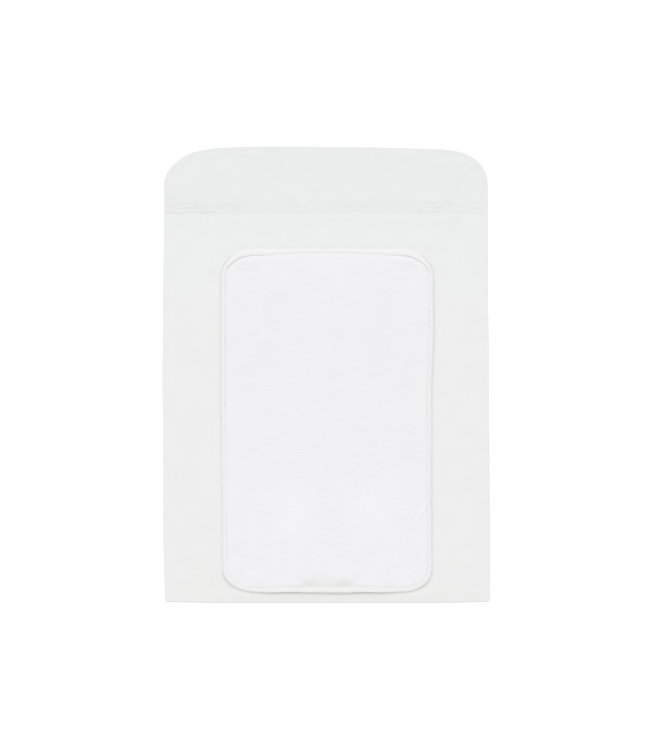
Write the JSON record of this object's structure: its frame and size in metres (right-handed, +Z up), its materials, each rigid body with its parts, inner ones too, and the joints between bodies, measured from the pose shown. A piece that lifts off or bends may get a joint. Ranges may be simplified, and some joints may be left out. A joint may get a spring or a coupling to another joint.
{
  "type": "changing pad",
  "caption": "Thin padded baby changing pad with a stitched-off fold-up head section, a lift-off terry liner held by hook-and-loop patches, and a zipped back.",
  "frame": {"origin": "middle of the footprint, on the surface that the pad lies on", "axes": "+X to the right, +Y towards the head section, +Z up"},
  "size_m": [0.5, 0.7, 0.0184],
  "materials": {
    "cover_cloth": "matte",
    "back_cloth": "matte",
    "foam": "matte",
    "thread": "satin",
    "elastic_tape": "matte",
    "zip_tape": "matte",
    "zip_coil": "satin",
    "zip_metal": "satin",
    "terry": "matte",
    "wadding": "matte",
    "waterproof_film": "satin",
    "binding_tape": "satin",
    "label_tape": "satin",
    "hook_tape": "matte",
    "loop_tape": "matte"
  },
  "bodies": {
    "mat": {"body_top_cover": "cover_cloth", "body_back_cover": "back_cloth", "body_foam_core": "foam", "body_perimeter_seam": "thread", "seam_elastic": "elastic_tape", "seam_thread_lower": "thread", "loop_patch_head_left": "loop_tape", "loop_patch_head_right": "loop_tape", "loop_patch_foot_left": "loop_tape", "loop_patch_foot_right": "loop_tape", "zip_tape_foot_side": "zip_tape", "zip_tape_head_side": "zip_tape", "zip_coil_foot_side": "zip_coil", "zip_coil_head_side": "zip_coil", "zip_stop_left": "zip_metal", "zip_stop_right": "zip_metal"},
    "head": {"head_top_cover": "cover_cloth", "head_back_cover": "back_cloth", "head_foam_core": "foam", "head_perimeter_seam": "thread", "seam_thread_upper": "thread"},
    "liner": {"terry_face": "terry", "liner_wadding": "wadding", "waterproof_backing": "waterproof_film", "liner_binding": "binding_tape", "binding_thread": "thread", "care_label": "label_tape", "hook_patch_head_left": "hook_tape", "hook_patch_head_right": "hook_tape", "hook_patch_foot_left": "hook_tape", "hook_patch_foot_right": "hook_tape", "box_stitch_head_left": "thread", "box_stitch_head_right": "thread", "box_stitch_foot_left": "thread", "box_stitch_foot_right": "thread"},
    "zip_slider": {"zip_slider": "zip_metal"},
    "zip_puller": {"zip_puller": "zip_metal"}
  },
  "joints": [
    {"name": "head_fold", "type": "hinge", "parent": "mat", "child": "head", "pos_m": [0, 0.25, 0.01], "axis": [1, 0, 0], "range_deg": [0, 150]},
    {"name": "liner_lift", "type": "slide", "parent": "mat", "child": "liner", "axis": [0, 0, 1], "range_m": [0, 0.12]},
    {"name": "zip_slide", "type": "slide", "parent": "mat", "child": "zip_slider", "axis": [-1, 0, 0], "range_m": [0, 0.335]},
    {"name": "zip_pull_swing", "type": "hinge", "parent": "zip_slider", "child": "zip_puller", "pos_m": [0.172, -0.3, 0.0021], "axis": [0, -1, 0], "range_deg": [0, 170]}
  ]
}
